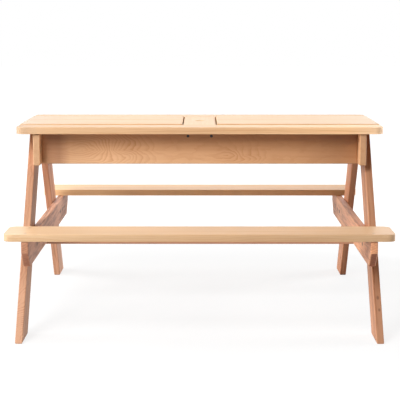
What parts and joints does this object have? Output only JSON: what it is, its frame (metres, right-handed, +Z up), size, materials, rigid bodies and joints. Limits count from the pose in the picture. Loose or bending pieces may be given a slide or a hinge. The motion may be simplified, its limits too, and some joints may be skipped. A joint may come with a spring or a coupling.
{
  "type": "picnic table with sandbox",
  "caption": "Child's wooden picnic table: a low A-frame table with a bench along each side and a sandbox under lift-off lids in the tabletop.",
  "frame": {"origin": "on the ground under the middle of the table", "axes": "+X along the benches to the right as seen from the front, -Y to the front, +Z up"},
  "size_m": [1.1, 1.1184, 0.5894],
  "materials": {
    "pale_wood": "satin oiled softwood",
    "leg_wood": "satin stained softwood",
    "plywood": "matt plywood",
    "steel": "zinc plated"
  },
  "bodies": {
    "table": {"leg_front_left": "leg_wood", "leg_front_right": "leg_wood", "leg_rear_left": "leg_wood", "leg_rear_right": "leg_wood", "crossbeam_left": "leg_wood", "crossbeam_right": "leg_wood", "end_panel_left": "pale_wood", "end_panel_right": "pale_wood", "apron_front": "pale_wood", "apron_rear": "pale_wood", "floor_cleat_front": "pale_wood", "floor_cleat_rear": "pale_wood", "sandbox_floor": "plywood", "lid_rail_left": "pale_wood", "lid_rail_right": "pale_wood", "top_board_front": "pale_wood", "top_board_rear": "pale_wood", "bench_front": "pale_wood", "bench_rear": "pale_wood", "stretcher": "leg_wood", "crossbeam_screw_front_left_outer": "steel", "crossbeam_screw_front_left_inner": "steel", "crossbeam_screw_front_right_outer": "steel", "crossbeam_screw_front_right_inner": "steel", "crossbeam_screw_rear_left_outer": "steel", "crossbeam_screw_rear_left_inner": "steel", "crossbeam_screw_rear_right_outer": "steel", "crossbeam_screw_rear_right_inner": "steel", "panel_screw_front_left_lower": "steel", "panel_screw_front_left_upper": "steel", "panel_screw_front_right_lower": "steel", "panel_screw_front_right_upper": "steel", "panel_screw_rear_left_lower": "steel", "panel_screw_rear_left_upper": "steel", "panel_screw_rear_right_lower": "steel", "panel_screw_rear_right_upper": "steel", "bench_screw_front_left_outer": "steel", "bench_screw_front_left_inner": "steel", "bench_screw_front_right_outer": "steel", "bench_screw_front_right_inner": "steel", "bench_screw_rear_left_outer": "steel", "bench_screw_rear_left_inner": "steel", "bench_screw_rear_right_outer": "steel", "bench_screw_rear_right_inner": "steel", "rail_screw_front_left": "steel", "rail_screw_front_right": "steel", "rail_screw_rear_left": "steel", "rail_screw_rear_right": "steel"},
    "lid_left": {"lid_left_board_front": "pale_wood", "lid_left_board_rear": "pale_wood", "lid_left_batten_inner": "pale_wood", "lid_left_batten_outer": "pale_wood"},
    "lid_centre": {"lid_centre": "pale_wood"},
    "lid_right": {"lid_right_board_front": "pale_wood", "lid_right_board_rear": "pale_wood", "lid_right_batten_inner": "pale_wood", "lid_right_batten_outer": "pale_wood"}
  },
  "joints": [
    {"name": "lid_left_lift", "type": "slide", "parent": "table", "child": "lid_left", "axis": [0, 0, 1], "range_m": [0, 0.15]},
    {"name": "lid_centre_lift", "type": "slide", "parent": "table", "child": "lid_centre", "axis": [0, 0, 1], "range_m": [0, 0.15]},
    {"name": "lid_right_lift", "type": "slide", "parent": "table", "child": "lid_right", "axis": [0, 0, 1], "range_m": [0, 0.15]}
  ]
}
